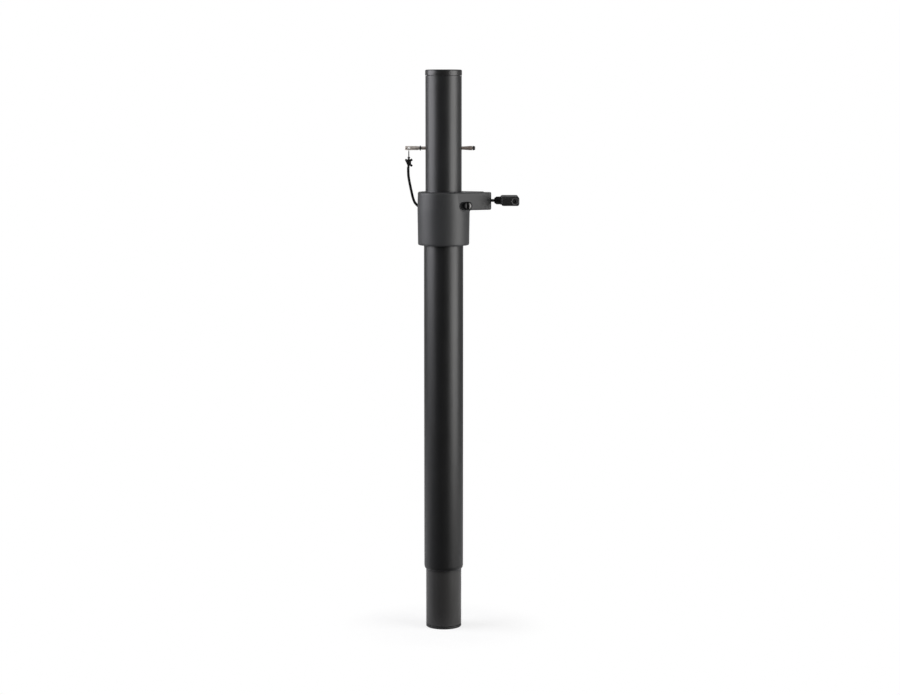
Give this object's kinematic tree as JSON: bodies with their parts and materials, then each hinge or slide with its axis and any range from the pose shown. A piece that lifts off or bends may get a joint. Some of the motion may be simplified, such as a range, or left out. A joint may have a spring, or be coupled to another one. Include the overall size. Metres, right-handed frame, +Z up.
{
  "type": "speaker pole",
  "caption": "Short telescoping speaker pole with a swaged spigot foot, a sliding upper tube, a clamp collar with a T handle and a tethered cross pin.",
  "frame": {"origin": "centre of the foot cap's flat underside, at the lower end of the spigot", "axes": "+Z up along the tubes, +X from the pole's axis along the collar's arm to the T handle, -Y the side that the slotted bolt head faces"},
  "size_m": [0.1106, 0.0535, 0.545],
  "materials": {
    "tube_black": "satin black powder coat",
    "collar_nylon": "fine-grained moulded black nylon",
    "handle_nylon": "moulded black nylon",
    "cap_black": "matt black",
    "bush_nylon": "natural nylon",
    "dark_steel": "black zinc plate",
    "zinc_steel": "bright zinc plate",
    "pin_steel": "turned and plated steel, slightly warm",
    "cord_black": "braided black cord"
  },
  "bodies": {
    "base": {"outer_tube": "tube_black", "foot_cap": "cap_black", "collar_housing": "collar_nylon", "guide_bush": "bush_nylon", "clamp_nut": "zinc_steel", "cross_bolt": "dark_steel", "cross_nut": "zinc_steel", "tether_eyelet": "zinc_steel", "collar_set_screw_right": "dark_steel", "collar_set_screw_left": "dark_steel", "tether_cord_lower": "cord_black"},
    "mast": {"mast_tube": "tube_black", "top_cap": "cap_black", "mast_foot_bush": "bush_nylon"},
    "pin": {"safety_pin": "pin_steel", "pin_tip_cap": "cap_black", "pin_stop_ring": "cap_black", "split_ring": "pin_steel", "tether_knot": "cord_black", "tether_cord_upper": "cord_black"},
    "brake": {"brake_shoe": "bush_nylon"},
    "knob": {"clamp_screw": "dark_steel", "t_handle": "handle_nylon"}
  },
  "joints": [
    {"name": "mast_slide", "type": "slide", "parent": "base", "child": "mast", "axis": [0, 0, 1], "range_m": [0, 0.2655]},
    {"name": "pin_pull", "type": "slide", "parent": "mast", "child": "pin", "axis": [-1, 0, 0], "range_m": [0, 0.05]},
    {"name": "brake_travel", "type": "slide", "parent": "base", "child": "brake", "axis": [1, 0, 0], "range_m": [0, 0.0012]},
    {"name": "knob_turn", "type": "hinge", "parent": "brake", "child": "knob", "pos_m": [0.05, 0, 0.4196], "axis": [1, 0, 0], "range_deg": [0, 540]}
  ],
  "couplings": [
    {"joint": "brake_travel", "follows": "knob_turn", "m_per_rad": 0.00012732}
  ]
}
